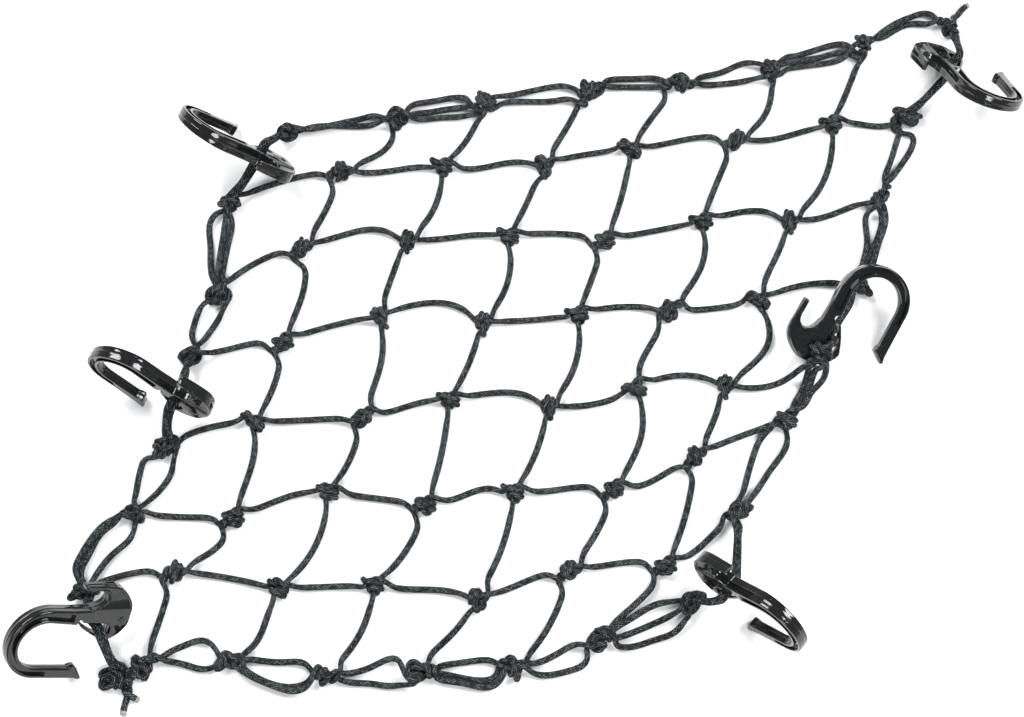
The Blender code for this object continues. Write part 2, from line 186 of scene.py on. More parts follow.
def moulding(inner, outer, half_width, recess):
    """A moulded bar between two lines in the hook's plane. At each station the section is a
    rectangle with round corners as deep as the lines are apart, with a recess between two rims in
    each face, and a fine parting line on both edges. The ends are rounded off and closed."""
    turn = np.radians([30, 60, 90])
    ease = CORNER * (1 - np.cos(turn))
    out = CORNER * np.sin(turn)
    begin = (inner[0] - inner[1] + outer[0] - outer[1]) / 2
    finish = (inner[-1] - inner[-2] + outer[-1] - outer[-2]) / 2
    begin, finish = begin / np.linalg.norm(begin), finish / np.linalg.norm(finish)
    middle = (inner + outer) / 2
    middle = np.vstack([middle[0] + out[::-1, None] * begin, middle,
                        middle[-1] + out[:, None] * finish])
    across = (inner - outer) / 2
    depth = np.linalg.norm(across, axis=1)
    across = across / depth[:, None]
    across = np.vstack([across[:1].repeat(3, 0), across, across[-1:].repeat(3, 0)])
    depth = np.concatenate([depth[0] - ease[::-1], depth, depth[-1] - ease])[:, None]
    width = np.concatenate([half_width[0] - ease[::-1], half_width, half_width[-1] - ease])[:, None]
    sunk = np.concatenate([np.zeros(3), recess, np.zeros(3)])[:, None]
    rim = np.minimum(RIM, 0.5 * depth)
    corner = np.minimum(CORNER, 0.45 * np.minimum(depth, width))
    arc = np.radians([0, 22.5, 45, 67.5, 90])
    none = 0 * depth
    wall = np.minimum(sunk, EASE)
    p = np.hstack([depth + PARTING, depth, depth, depth - corner * (1 - np.cos(arc)), depth - rim,
                   depth - rim - EASE, depth - rim - WALL_FOOT, depth - rim - FLOOR_EDGE, none])
    q = np.hstack([none, none + PARTING_WIDTH / 2, (width - corner) / 2,
                   width - corner * (1 - np.sin(arc)), width, width - wall,
                   width - np.maximum(sunk - FILLET, wall), width - sunk, width - sunk])
    p = np.hstack([p, -p[:, -2::-1], -p[:, 1:], p[:, -2:0:-1]])
    q = np.hstack([q, q[:, -2::-1], -q[:, 1:], -q[:, -2:0:-1]])
    corners = np.dstack([middle[:, None] + across[:, None] * p[..., None], q])
    ahead = np.sum(np.gradient(middle, axis=0) * np.column_stack([across[:, 1], -across[:, 0]]))
    return close_rings(corners if ahead > 0 else corners[:, ::-1])


def close_rings(rings):
    """Corners and faces of the surface through rings (stations, points round, 3), with a fan of
    faces to a middle corner at both ends. The points run right-handed about the way ahead."""
    stations, round_ = rings.shape[:2]
    number = np.arange(stations * round_).reshape(stations, round_)
    ahead = np.roll(number, -1, axis=1)
    quads = np.stack([number[:-1], ahead[:-1], ahead[1:], number[1:]], -1).reshape(-1, 4)
    first, last = stations * round_, stations * round_ + 1
    start = np.stack([np.full(round_, first), ahead[0], number[0]], -1)
    end = np.stack([np.full(round_, last), number[-1], ahead[-1]], -1)
    corners = np.vstack([rings.reshape(-1, 3), rings[0].mean(0), rings[-1].mean(0)])
    return corners, quads.tolist() + start.tolist() + end.tolist()


def bend_bar():
    """The shank, the bend and the arm in one bar: straight, half a circle, straight, flared tip."""
    u = np.linspace(1, SHANK, 60)
    lower = np.interp(u, *np.transpose(SHANK_BELOW))
    upper = np.interp(u, *np.transpose(SHANK_ABOVE))
    turn = np.linspace(0, np.pi, 61)[1:-1, None]
    half = (SHANK_DEPTH + (ARM_DEPTH - SHANK_DEPTH) * turn / np.pi) / 2
    ray = np.hstack([np.sin(turn), -np.cos(turn)])
    centre = np.array([SHANK, BEND])
    arm = np.linspace(SHANK, ARM_END, 16)
    tip = through(FLARED_TIP, 4)
    arm_outer = np.column_stack([arm, 0 * arm + 2 * BEND + ARM_DEPTH / 2])
    arm_inner = np.column_stack([arm, 0 * arm + 2 * BEND - ARM_DEPTH / 2])
    outer = np.vstack([np.column_stack([u, lower]), centre + ray * (BEND + half), arm_outer, tip[:, :2]])
    inner = np.vstack([np.column_stack([u, upper]), centre + ray * (BEND - half), arm_inner, tip[:, 2:]])
    fall = SHANK_WIDTH / 2 + (ARM_WIDTH - SHANK_WIDTH) / 2 * turn[:, 0] / np.pi
    half_width = np.concatenate([0 * u + SHANK_WIDTH / 2, fall, 0 * arm + ARM_WIDTH / 2,
                                 np.linspace(ARM_WIDTH / 2, TIP_WIDTH / 2, len(tip))])
    on_shank = np.clip((u - RECESS_ON_SHANK) / RECESS_RAMP, 0, 1)
    on_arm = np.clip((arm - RECESS_ON_ARM) / RECESS_RAMP, 0, 1)
    recess = RECESS * np.concatenate([on_shank, 1 + 0 * turn[:, 0], on_arm, 0 * tip[:, 0]])
    return moulding(inner, outer, half_width, recess)


def barb(table):
    """A barb from its table, with a smooth curve through the stations."""
    stations = through(table, 6)
    recess = np.maximum(stations[:, 5], 0)
    return moulding(stations[:, :2], stations[:, 2:4], stations[:, 4], recess)


def button(face):
    """The round boss on the back end: a low dome on the face that looks up."""
    rise = np.radians(np.linspace(0, 80, 7))
    radius = BOSS_RADIUS * np.cos(rise)
    above = np.concatenate([[0], BOSS_SUNK + BOSS_RISE * np.sin(rise[1:])])
    level = SHANK_WIDTH / 2 - BOSS_SUNK + above
    turn = np.linspace(0, 2 * np.pi, 24, endpoint=False)
    rings = np.stack([BOSS_PLACE + radius[:, None] * np.cos(turn), radius[:, None] * np.sin(turn) * face,
                      np.repeat(level[:, None] * face, len(turn), axis=1)], -1)
    return close_rings(rings)


def hook_axes(yaw, pitch, roll, face):
    """The hook's own three directions: along the shank, towards the arm, and out of its face."""
    heading, rise, tilt = np.radians([yaw, pitch, roll])
    ahead = np.array([np.cos(heading), np.sin(heading), 0])
    aside = face * np.array([-ahead[1], ahead[0], 0])
    up = np.array([0, 0, 1.0])
    u = ahead * np.cos(rise) + up * np.sin(rise)
    v = aside * np.cos(tilt) - (up * np.cos(rise) - ahead * np.sin(rise)) * np.sin(tilt)
    return np.stack([u, v, np.cross(u, v)])


def shader_material(name, colour, roughness):
    """A material with its Principled shader, and the nodes and links to build on."""
    made = bpy.data.materials.new(name)
    made.use_nodes = True
    tree = made.node_tree
    shader = tree.nodes["Principled BSDF"]
    shader.inputs["Base Color"].default_value = colour
    shader.inputs["Roughness"].default_value = roughness
    return made, tree, shader


def add(tree, kind, values=None, **settings):
    """A node of the given kind, with its settings, and links or numbers for its inputs by name or
    place. A mix of colours has them at 6 and 7, and its result is output 2."""
    node = tree.nodes.new(kind)
    for setting, value in settings.items():
        setattr(node, setting, value)
    for place, value in (values or {}).items():
        if isinstance(value, bpy.types.NodeSocket):
            tree.links.new(value, node.inputs[place])
        else:
            node.inputs[place].default_value = value
    return node


def handling_marks():
    """Node group: fine dust on what looks up, and the uneven gloss that hands leave."""
    group = bpy.data.node_groups.new("handling_marks", "ShaderNodeTree")
    for socket, kind, default in (("Grain", "NodeSocketFloat", 900), ("Dust", "NodeSocketFloat", 0.5)):
        made = group.interface.new_socket(socket, in_out="INPUT", socket_type=kind)
        made.default_value = default
    group.interface.new_socket("Dust mask", in_out="OUTPUT", socket_type="NodeSocketFloat")
    group.interface.new_socket("Gloss change", in_out="OUTPUT", socket_type="NodeSocketFloat")
    given = add(group, "NodeGroupInput")
    result = add(group, "NodeGroupOutput")
    where = add(group, "ShaderNodeTexCoord")
    specks = add(group, "ShaderNodeTexNoise", {"Vector": where.outputs["Object"],
                                               "Scale": given.outputs["Grain"], "Detail": 3.0})
    cut = add(group, "ShaderNodeMapRange", {0: specks.outputs["Fac"], 1: 0.56, 2: 0.74})
    facing = add(group, "ShaderNodeNewGeometry")
    level = add(group, "ShaderNodeSeparateXYZ", {0: facing.outputs["Normal"]})
    upward = add(group, "ShaderNodeMapRange", {0: level.outputs["Z"], 1: 0.2, 2: 1.0})
    lying = add(group, "ShaderNodeMath", {0: cut.outputs[0], 1: upward.outputs[0]}, operation="MULTIPLY")
    mask = add(group, "ShaderNodeMath", {0: lying.outputs[0], 1: given.outputs["Dust"]},
               operation="MULTIPLY")
    smears = add(group, "ShaderNodeTexNoise", {"Vector": where.outputs["Object"], "Scale": 60.0,
                                               "Detail": 4.0, "Distortion": 1.2})
    change = add(group, "ShaderNodeMapRange", {0: smears.outputs["Fac"], 1: 0.3, 2: 0.7, 3: -1.0, 4: 1.0})
    group.links.new(mask.outputs[0], result.inputs["Dust mask"])
    group.links.new(change.outputs[0], result.inputs["Gloss change"])
    return group


marks = handling_marks()


def hook_plastic():
    """Glossy black moulding: smears and hairline scratches change the gloss, dust greys it."""
    made, tree, shader = shader_material("hook_plastic", (0.012, 0.013, 0.014, 1), 0.16)
    shader.inputs["IOR"].default_value = 1.5
    shader.inputs["Coat Roughness"].default_value = 0.04
    shader.inputs["Coat Weight"].default_value = 0.12
    worn = add(tree, "ShaderNodeGroup", {}, node_tree=marks)
    worn.inputs["Grain"].default_value = 1400
    worn.inputs["Dust"].default_value = 0.07
    where = add(tree, "ShaderNodeTexCoord")
    stretched = add(tree, "ShaderNodeMapping", {"Vector": where.outputs["Object"],
                                                "Rotation": (0.3, 0.5, 0.9), "Scale": (40, 900, 900)})
    scratches = add(tree, "ShaderNodeTexNoise", {"Vector": stretched.outputs[0], "Scale": 1.0,
                                                 "Detail": 2.0})
    fine = add(tree, "ShaderNodeMapRange", {0: scratches.outputs["Fac"], 1: 0.62, 2: 0.70})
    rough = add(tree, "ShaderNodeMath", {0: worn.outputs["Gloss change"], 1: 0.03, 2: 0.075},
                operation="MULTIPLY_ADD")
    rougher = add(tree, "ShaderNodeMath", {0: fine.outputs[0], 1: 0.12, 2: rough.outputs[0]},
                  operation="MULTIPLY_ADD")
    colour = add(tree, "ShaderNodeMix", {0: worn.outputs["Dust mask"], 6: (0.006, 0.0065, 0.007, 1),
                                         7: (0.20, 0.20, 0.20, 1)}, data_type="RGBA")
    flow = add(tree, "ShaderNodeTexNoise", {"Vector": where.outputs["Object"], "Scale": 140.0,
                                            "Detail": 2.0})
    relief = add(tree, "ShaderNodeMath", {0: flow.outputs["Fac"], 1: fine.outputs[0]}, operation="SUBTRACT")
    bump = add(tree, "ShaderNodeBump", {"Strength": 0.12, "Distance": 0.0002, "Height": relief.outputs[0]})
    tree.links.new(colour.outputs[2], shader.inputs["Base Color"])
    tree.links.new(rougher.outputs[0], shader.inputs["Roughness"])
    tree.links.new(bump.outputs[0], shader.inputs["Normal"])
    return made


plastic = hook_plastic()
for name, pose in HOOKS.items():
    shells = [bend_bar(), barb(WIDE_BARB), barb(NARROW_BARB), button(pose["face"])]
    starts = np.cumsum([0] + [len(shell[0]) for shell in shells])
    corners = np.vstack([shell[0] for shell in shells])
    faces = [[number + start for number in face] for shell, start in zip(shells, starts)
             for face in shell[1]]
    axes = hook_axes(pose["yaw"], pose["pitch"], pose["roll"], pose["face"])
    placed = corners @ axes + np.array(pose["place"]) - MIDDLE
    hook = grid_mesh(f"moulded_{name}", placed * MM, faces)
    hook.data.set_sharp_from_angle(angle=np.radians(35))
    hook.data.materials.append(plastic)
    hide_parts(name)
    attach(hook, "root")

# ------------------------------------------------------------------------------------------------
# Courses of the cords: braided elastic cord, 3.6 mm thick. Eight rows cross eight columns, the edge
# among them, and at each crossing the cords are tied in one overhand knot, which pulls them thinner.
# ------------------------------------------------------------------------------------------------

CORD = 3.6
TIGHT = 2.75            # thickness of the cord while a knot is pulled tight
IN_KNOT = 1.09 * TIGHT  # and of the finished cord inside a knot
KNOT_HEIGHT = 8.0
REACH = 12.0            # from a knot's middle to where its cords run free

# Knot centres, far edge first, each row from left to right: (x, y)
KNOTS = [
    [(-129, 134), (-67, 145), (-16, 154), (43, 162), (97, 165), (149, 175), (204, 189), (256, 202)],
    [(-160, 92), (-98, 111), (-40, 114), (17, 115), (68, 124), (129, 131), (184, 140), (228, 145)],
    [(-167, 36), (-119, 65), (-60, 69), (-2, 71), (53, 69), (108, 80), (157, 81), (209, 95)],
    [(-180, 0), (-128, 8), (-75, 23), (-17, 20), (37, 24), (88, 26), (139, 32), (197, 41)],
    [(-192, -53), (-143, -39), (-83, -36), (-35, -26), (20, -29), (69, -20), (118, -17), (170, -2)],
    [(-207, -91), (-152, -93), (-101, -79), (-47, -86), (1, -79), (56, -77), (101, -58), (152, -38)],
    [(-234, -135), (-183, -123), (-127, -133), (-75, -131), (-20, -138), (31, -122), (84, -120), (124, -90)],
    [(-211, -183), (-198, -175), (-155, -172), (-101, -180), (-52, -178), (1, -177), (46, -162), (96, -141)],
]
RAISED_KNOT, RAISED_BY = (4, 7), 15     # this knot sits on the back end of hook_3
# How each knot inside the net came out of the hand: A collar up, B loop up, C and D bars up
TURNS = ["ABDCAB", "DABCBA", "CDDBDC", "CDBABD", "CBCBCD", "ACBADC"]
MIRROR_AND_ROLL = {"A": (-1, 270), "B": (1, 270), "C": (-1, 90), "D": (1, 90)}
# Bow and swing of each stretch of a row cord, towards the far side, rows 1 to 6
ROW_CURVES = [
    [(5, 0), (0, -1), (1, -2), (3, 0), (4, -1), (-2, -1), (-2, 2)],
    [(6, 0), (8, -2), (2, -1), (4, 0), (1, 0), (7, -1), (-2, -1)],
    [(2, -1), (3, 0), (11, -1), (0, 0), (5, 0), (0, 0), (7, 0)],
    [(5, 0), (1, 0), (2, -1), (7, -1), (-3, 0), (8, 0), (-7, 0)],
    [(0, 0), (4, -1), (1, 0), (4, -2), (2, -1), (-3, -1), (2, 0)],
    [(5, 0), (2, 0), (1, 0), (2, -1), (1, -1), (3, -1), (-2, -1)],
]
# The same for the column cords, towards the right side, columns 1 to 6
COLUMN_CURVES = [
    [(8, 2), (2, 0), (5, 1), (3, 0), (3, 1), (5, 1), (0, 0)],
    [(3, 0), (6, 0), (-1, 0), (5, 1), (3, 0), (7, 0), (7, -2)],
    [(1, 0), (1, 0), (7, 0), (2, 0), (2, 0), (4, 0), (6, 0)],
    [(-2, 0), (2, 0), (0, 0), (7, 0), (3, 0), (4, 0), (2, 1)],
    [(9, 0), (-1, 0), (8, 1), (-3, 1), (8, 1), (3, 0), (5, 0)],
    [(1, 0), (9, 0), (0, 1), (13, 2), (2, 0), (3, 0), (1, 1)],
]
# The edge, clockwise from the far left knot: for each strand of a stretch, how far it stands out
# from the line between the knots at a fifth, two, three and four fifths of the way, or the hook
# that two strands run through
EDGE = [
    [(2.6, 2, -0.6, -2.4), (0.2, 0.8, 2, 3.6)],
    [(-3.2, -3.8, -4.8, -5.6), (0.6, 0.4, 0.5, -0.6), (6.2, 6.9, 7.1, 5.4)],
    [(-0.8, -1.7, -3.3, -3.4), (2.2, 4.1, 5.2, 4.6)],
    [(1.4, 1.4, 0.8, -0.2), (5.6, 6.7, 6.4, 5)],
    [(-1.7, -2.8, -3.7, -3.8), (3, 3.7, 5.6, 6.9)],
    [(-1.6, -2.4, -3.8, -3.6), (0.8, 0.6, 0.8, 0.9), (3.6, 5.4, 6.3, 5.6)],
    [(2.6, 6.6, 8.6, 4.4), (4.4, 9.4, 12, 12.4)],
    "hook_2",
    [(-1.2, -0.8, -0.6, -1), (7.6, 7.6, 5, 2.2)],
    [(-5.4, -2.7, -1.2, -1.6), (4.2, 4, 2, 0.6), (5.8, 5.6, 4.2, 3.2)],
    "hook_3",
    [(-1.5, 0, -0.2, -1), (1.6, 3, 3, 2), (8.2, 6.2, 5.2, 4.4)],
    [(-7.6, -7.8, -5.6, -2.8), (6.2, 5.3, 3.9, 2.6)],
    "hook_4",
    [(-5.9, -7, -5.2, -3.4), (1.7, 2.1, 2.2, 1.9), (10.3, 10.8, 10, 7.4)],
    [(-3.2, -2, -0.2, 0.6), (8.8, 9.6, 8.8, 5.6)],
    [(-5.4, -5.7, -4.4, -2.8), (4.6, 4.9, 2.6, 0.8), (8.4, 8.2, 5.8, 4)],
    [(-8.2, -5.6, -1.9, 0), (6.9, 5.9, 4.6, 3.5)],
    [(-5.5, -4.4, -3.3, -2.6), (7.2, 8.9, 7, 3), (10.2, 10.6, 8.1, 4.4)],
    [(-11.6, -11.4, -8.5, -3.5), (4.2, 1.8, -1.2, -1.8)],
    [(-2, -2, -2, -2), (2, 2, 2, 2)],
    "hook_5",
    [(-1.2, -1.3, -3.4, -6), (7, 8.6, 10, 6.6), (10, 12.2, 11.6, 8.6)],
    [(-3.2, -6.8, -9, -8.6), (2.6, 5.5, 7.3, 7.3)],
    "hook_6",
    [(-2.6, -4.4, -6.1, -6.4), (2.6, 4.8, 5.5, 5.2)],
    [(-1.4, -1.6, -2.1, -2.5), (0.4, 1, 1.4, 1.5), (4, 6.7, 8.9, 9.9)],
    "hook_1",
]
# The edge's knots in the same order. For a small letter the strands lie the other way about
EDGE_TURNS = "cdBDBdCaDdCABaDbBbCbdCaBdBdC"
SLOT = [(15.6, 6.5), (12.2, 7.0)]      # where each strand goes through a hook
# Cut ends that stick out of two corner knots: the knot's number on the edge, and the end
TAILS = {7: [(267, 217)], 21: [(-208, -201), (-200, -193)]}

centres = np.dstack([np.array(KNOTS, float), np.full((8, 8), KNOT_HEIGHT / 2)])
centres[RAISED_KNOT][2] += RAISED_BY
ring = ([(0, k) for k in range(7)] + [(k, 7) for k in range(7)]
        + [(7, 7 - k) for k in range(7)] + [(7 - k, 0) for k in range(7)])


def between(start, end, offset, t):
    """A stretch of cord between two knots, at the parts t of the way: the straight line, moved to
    the left by the offset, and let down to the table by a cosine of the way."""
    way = end - start
    left = np.array([-way[1], way[0]]) / np.hypot(way[0], way[1])
    level = start + t[:, None] * way
    rest = np.where(t < 0.5, start[2], end[2])
    height = CORD / 2 + (rest - CORD / 2) * (1 + np.cos(2 * np.pi * t)) / 2
    return np.column_stack([level[:, :2] + offset[:, None] * left, height])


def free_part(path):
    """The part of a path that is farther than REACH from both its ends, or than a third of the way
    where that is less."""
    reach = min(REACH, np.linalg.norm(path[-1] - path[0]) / 3)
    from_start = np.linalg.norm(path - path[0], axis=1) > reach
    from_end = np.linalg.norm(path - path[-1], axis=1) > reach
    return path[np.argmax(from_start):len(path) - np.argmax(from_end[::-1])]


def softened(values, passes, endless=False):
    """Rows averaged with their neighbours, a half and two quarters, again and again. The first and
    last row stay, unless the rows are endless."""
    for _ in range(passes):
        mean = (np.roll(values, 1, axis=0) + np.roll(values, -1, axis=0) + 2 * values) / 4
        if not endless:
            mean[0], mean[-1] = values[0], values[-1]
        values = mean
    return values


def stacked(paths):
    """Each strand lies on the table, and climbs over those laid before it where they cross."""
    laid = [paths[0]]
    for path in paths[1:]:
        path = path.copy()
        for below in laid:
            apart = np.linalg.norm(path[:, None, :2] - below[None, :, :2], axis=-1)
            nearest = apart.argmin(axis=1)
            near = apart[np.arange(len(path)), nearest]
            top = below[nearest, 2] + np.sqrt(np.maximum(CORD**2 - near**2, 0))
            path[:, 2] = np.where(near < CORD, np.maximum(path[:, 2], top), path[:, 2])
        path[:, 2] = softened(path[:, 2:], 5)[:, 0]
        laid.append(path)
    return laid


def through_hook(pose, slot, start, end):
    """A strand's way between two knots through a hook's slot and over its narrow barb."""
    axes = hook_axes(pose["yaw"], pose["pitch"], pose["roll"], pose["face"])
    place, face = np.array(pose["place"], float), pose["face"]
    u, v = slot
    half = SHANK_WIDTH / 2
    local = np.array([(u, v, -half - 2), (u, v, -1), (u, v, half - 0.5), (u, v + 2, half + 2.7)])
    way = place + (local * [1, 1, face]) @ axes
    starts_above = (start - place) @ axes[2] * face > 0
    return through([start, *(way[::-1] if starts_above else way), end], 24)


t = np.linspace(0, 1, 120)
fifths = np.arange(1, 5) / 5
waves = np.arange(1, 5) * np.pi
runs = []     # each: the leg where it starts, the leg where it ends, its path, 1 inside a knot
for row, curves in enumerate(ROW_CURVES, 1):
    for column, (bow, swing) in enumerate(curves):
        offset = 4 * bow * t * (1 - t) + swing * np.sin(2 * np.pi * t)
        path = free_part(between(centres[row, column], centres[row, column + 1], offset, t))
        runs.append(((row, column, "right"), (row, column + 1, "left"), path, 0))
for column, curves in enumerate(COLUMN_CURVES, 1):
    for row, (bow, swing) in enumerate(curves):
        offset = 4 * bow * t * (1 - t) + swing * np.sin(2 * np.pi * t)
        path = free_part(between(centres[row, column], centres[row + 1, column], offset, t))
        runs.append(((row, column, "down"), (row + 1, column, "up"), path, 0))
for number, stretch in enumerate(EDGE):
    following = (number + 1) % len(ring)
    start, end = centres[ring[number]], centres[ring[following]]
    if isinstance(stretch, str):
        paths = [through_hook(HOOKS[stretch], slot, start, end) for slot in SLOT]
    else:
        shares = np.linalg.solve(np.sin(np.outer(fifths, waves)), np.array(stretch, float).T)
        offsets = np.sin(np.outer(t, waves)) @ shares
        paths = stacked([between(start, end, offset, t) for offset in offsets.T])
    for strand, path in enumerate(paths):
        runs.append(((number, "next", strand), (following, "prev", strand), free_part(path), 0))

legs = {}
for first, last, path, _ in runs:
    legs[first], legs[last] = path[0], path[-1]


# A loosely laid knot: its size with two strands and for each one more, how many times higher it is
# than the curve it follows, how far that curve runs, and the room between strands side by side
LOOSE_SIZE, LOOSE_GROWTH, LOOSE_RISE, CURVE_END, STRAND_ROOM = 3.6, 0.7, 1.6, 2.05, 2.9
# The pulls that tie it: points on a strand, rounds, and how much of its depth below the floor each
# point is lifted in a round
PULLS = [(64, 420, 0.0), (56, 200, 0.02), (56, 150, 0.08)]
BUNDLE = 0.24, 0.76     # from where to where on their way the strands cling to each other
OWN_STRETCH = 1.6       # thicknesses along one strand within which it doesn't press itself away
PRESS, CLING = 0.5, 0.1     # shares of an overlap and of a gap between twins that a round takes away
MOST_FELT = 1.5         # a deeper overlap or wider gap counts as this much
SHORTEN = 0.26          # share of the bend at a point that a round straightens
LONGEST_MOVE = 0.6
# An end hidden in a knot lies this far beyond its middle, for a tail and for others, and below it
TAIL_HIDDEN, END_HIDDEN, HIDDEN_BELOW = 5, 6.5, 2
# A tied knot is drawn in all round by one share and widened crosswise by the other. Its legs, a
# quarter of each strand, follow less and less, and 16 points at each end don't count as its middle
DRAWN_IN, WIDENED, LEG_PART, LEG_POINTS = 0.10, 0.38, 0.25, 16
KNOTS_AT_ONCE = 5


def overhand(legs_in, legs_out, heading, roll, mirror, order):
    """Loosely laid overhand knots, all strands side by side: x = t^3 - 3t, y = 4t^2 - t^4 - 2 and z,
    before it is raised, (t^5 - 10t) / 5, mirrored in z, rolled about x and turned to the heading."""
    t = np.linspace(-CURVE_END, CURVE_END, 48)
    knots, strands = legs_in.shape[:2]
    size = LOOSE_SIZE + LOOSE_GROWTH * (strands - 2)
    line = np.stack([t**3 - 3 * t, 4 * t**2 - t**4 - 2, LOOSE_RISE * (t**5 - 10 * t) / 5], 1)
    line = size * line[None] * np.stack([np.ones(knots), np.ones(knots), mirror], 1)[:, None]
    ahead = np.gradient(line, axis=1)
    aside = np.stack([-ahead[..., 1], ahead[..., 0], 0 * ahead[..., 0]], -1)
    aside /= np.linalg.norm(aside, axis=-1, keepdims=True) + 1e-9
    spread = (np.arange(strands) - (strands - 1) / 2) * STRAND_ROOM * order[:, None]
    laid = line[:, None] + aside[:, None] * spread[..., None, None]
    one, none = np.ones(knots), np.zeros(knots)
    turned = np.stack([np.cos(heading), -np.sin(heading), none, np.sin(heading), np.cos(heading), none,
                       none, none, one], -1).reshape(-1, 3, 3)
    rolled = np.stack([one, none, none, none, np.cos(roll), -np.sin(roll), none, np.sin(roll),
                       np.cos(roll)], -1).reshape(-1, 3, 3)
    laid = np.einsum("bij,bksj->bksi", turned @ rolled, laid)
    return np.concatenate([legs_in[:, :, None], laid, legs_out[:, :, None]], 2)


def evenly(paths, count):
    """Each path again, with count points evenly spaced along it. One search serves all paths: the
    lengths along each path are lifted above those of the path before it."""
    steps = np.linalg.norm(np.diff(paths, axis=-2), axis=-1).reshape(-1, paths.shape[-2] - 1)
    along = np.concatenate([np.zeros((len(steps), 1)), np.cumsum(steps, -1)], -1)
    wanted = np.linspace(0, 1, count) * along[:, -1:]
    lift = np.concatenate([[0], np.cumsum(along[:, -1] + 1)[:-1]])[:, None]
    points = along.shape[1]
    rows = np.arange(len(along))[:, None]
    before = np.searchsorted((along + lift).ravel(), (wanted + lift).ravel(), side="right")
    before = np.clip(before.reshape(wanted.shape) - 1 - rows * points, 0, points - 2)
    part = wanted - along[rows, before]
    part = (part / np.maximum(along[rows, before + 1] - along[rows, before], 1e-9))[..., None]
    flat = paths.reshape(-1, points, 3)
    out = flat[rows, before] * (1 - part) + flat[rows, before + 1] * part
    return out.reshape(*paths.shape[:-2], count, 3)


def pulled_tight(paths):
    """Ties the knots: each cord shortens towards its chords, presses away every cord nearer than
    its thickness, keeps beside its twin, and stays above the floor. The legs' ends are held."""
    floor = (TIGHT - KNOT_HEIGHT) / 2
    for count, rounds, lift in PULLS:
        paths = evenly(paths, count)
        knots, strands = paths.shape[:2]
        point = np.arange(strands * count)
        strand, place = point // count, point % count
        same = strand[:, None] == strand[None]
        apart = np.abs(place[:, None] - place[None])
        inside = (place > BUNDLE[0] * count) & (place < BUNDLE[1] * count)
        twins = (apart == 0) & (np.abs(strand[:, None] - strand[None]) == 1)
        twins = twins & inside[:, None] & inside[None]
        for turn in range(rounds):
            if turn % 8 == 0:
                paths = evenly(paths, count)
                step = np.linalg.norm(np.diff(paths, axis=2), axis=-1).mean((1, 2))
                skip = same[None] & (apart[None] * step[:, None, None] < OWN_STRETCH * TIGHT)
            flat = paths.reshape(knots, -1, 3)
            square = (flat * flat).sum(-1)
            gap = square[:, :, None] + square[:, None] - 2 * flat @ flat.transpose(0, 2, 1)
            gap = np.sqrt(np.maximum(gap, 1e-6))
            push = np.clip(TIGHT - gap, 0, MOST_FELT) * PRESS
            push[skip] = 0
            push -= np.where(twins[None], np.clip(gap - TIGHT, 0, MOST_FELT) * CLING, 0)
            share = push / gap
            force = share.sum(2)[..., None] * flat - share @ flat
            force *= np.minimum(1, 1 / (np.linalg.norm(force, axis=-1, keepdims=True) + 1e-9))
            move = force.reshape(paths.shape)
            bend = paths[:, :, 2:] + paths[:, :, :-2] - 2 * paths[:, :, 1:-1]
            move[:, :, 1:-1] += SHORTEN * bend
            move *= np.minimum(1, LONGEST_MOVE / (np.linalg.norm(move, axis=-1, keepdims=True) + 1e-9))
            move[:, :, [0, -1]] = 0
            paths = paths + move
            paths[:, :, 1:-1, 2] += lift * np.clip(floor - paths[:, :, 1:-1, 2], 0, None)
    return paths


def hidden_end(centre, leg, reach):
    """A point on the table side of a knot, on the other side of its middle than the leg."""
    away = centre[:2] - leg[:2]
    away = away / np.linalg.norm(away)
    return np.array([*(centre[:2] + reach * away), centre[2] - HIDDEN_BELOW])


knots = []    # each: middle, the legs of each strand, letter
for row in range(1, 7):
    for column in range(1, 7):
        pairs = [((row, column, "left"), (row, column, "right")),
                 ((row, column, "down"), (row, column, "up"))]
        knots.append((centres[row, column], pairs, TURNS[row - 1][column - 1]))
for number, (row, column) in enumerate(ring):
    before, after = EDGE[number - 1], EDGE[number]
    pairs = [((number, "prev", strand), (number, "next", strand)) for strand in (0, 1)]
    comes = not isinstance(before, str) and len(before) == 3
    goes = not isinstance(after, str) and len(after) == 3
    third_in, third_out = (number, "prev", 2), (number, "next", 2)
    corner = row in (0, 7) and column in (0, 7)
    side = {0: "down", 7: "up"}.get(row) if column not in (0, 7) else {0: "right", 7: "left"}[column]
    inner = (row, column, side)
    middle = centres[row, column]
    if corner:
        for index, (x, y) in enumerate(TAILS.get(number, [])):
            legs[(number, "tail", index)] = np.array([x, y, CORD / 2])
            tail = legs[(number, "tail", index)]
            legs[(number, "hidden", index)] = hidden_end(middle, tail, TAIL_HIDDEN)
            pairs.append(((number, "hidden", index), (number, "tail", index)))
        for third in [third_in] * comes + [third_out] * goes:
            legs[(number, "hidden", 2)] = hidden_end(middle, legs[third], END_HIDDEN)
            pairs.append((third, (number, "hidden", 2)))
    else:
        legs[(number, "hidden", 0)] = hidden_end(middle, legs[inner], END_HIDDEN)
        if comes and goes:
            pairs += [(third_in, third_out), (inner, (number, "hidden", 0))]
        elif goes:
            pairs.append((inner, third_out))
        elif comes:
            pairs.append((third_in, inner))
        else:
            pairs.append((inner, (number, "hidden", 0)))
    knots.append((middle, pairs, EDGE_TURNS[number]))


